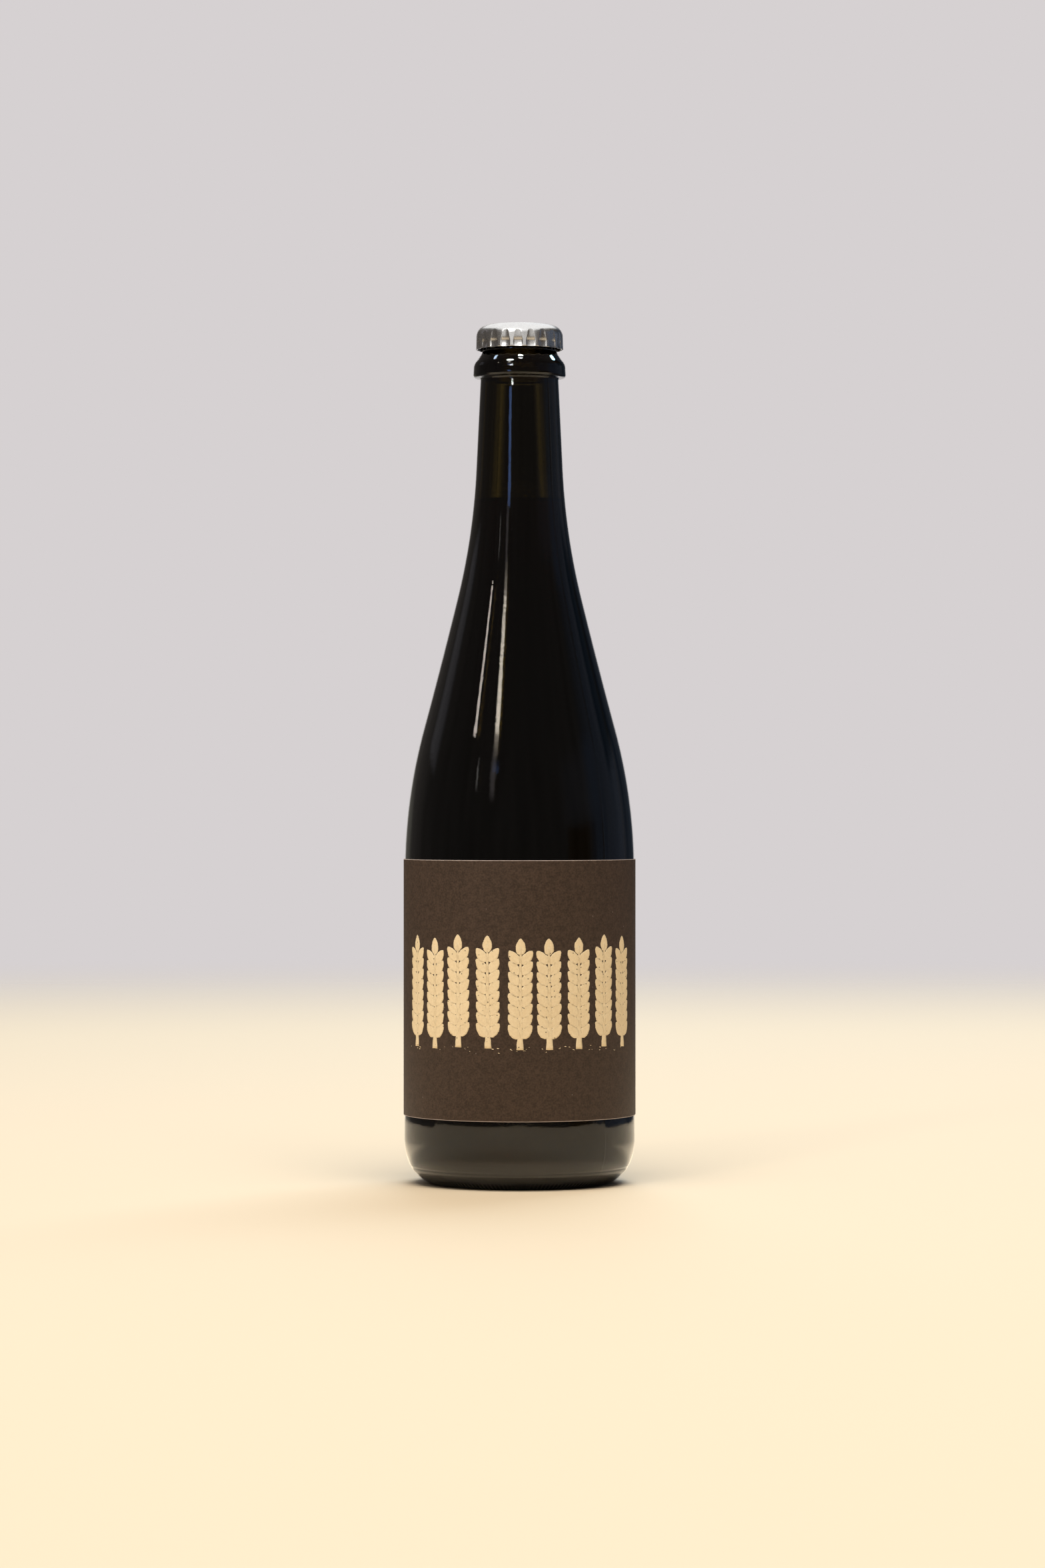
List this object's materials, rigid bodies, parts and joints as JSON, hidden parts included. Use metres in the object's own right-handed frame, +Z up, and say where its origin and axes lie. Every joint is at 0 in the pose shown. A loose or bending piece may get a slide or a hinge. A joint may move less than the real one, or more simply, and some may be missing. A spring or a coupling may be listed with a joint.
{
  "type": "beer bottle",
  "caption": "Full dark glass beer bottle with long sloping shoulders, a thick collar at the mouth, a crimped metal crown cap and a wide brown paper label round the body.",
  "frame": {"origin": "centre of the ring that the bottle stands on, at the surface under it", "axes": "+Z up along the bottle, -Y out through the middle of the label, +X to the right as the label is read"},
  "size_m": [0.0856, 0.0856, 0.317],
  "materials": {
    "glass": "glossy, very dark olive brown",
    "beer": "clear dark liquid",
    "tinplate": "satin bare metal",
    "label_paper": "uncoated dark brown paper with a cream print"
  },
  "bodies": {
    "root": {"bottle_glass": "glass", "beer": "beer", "crown_cap": "tinplate", "label": "label_paper"}
  },
  "joints": []
}
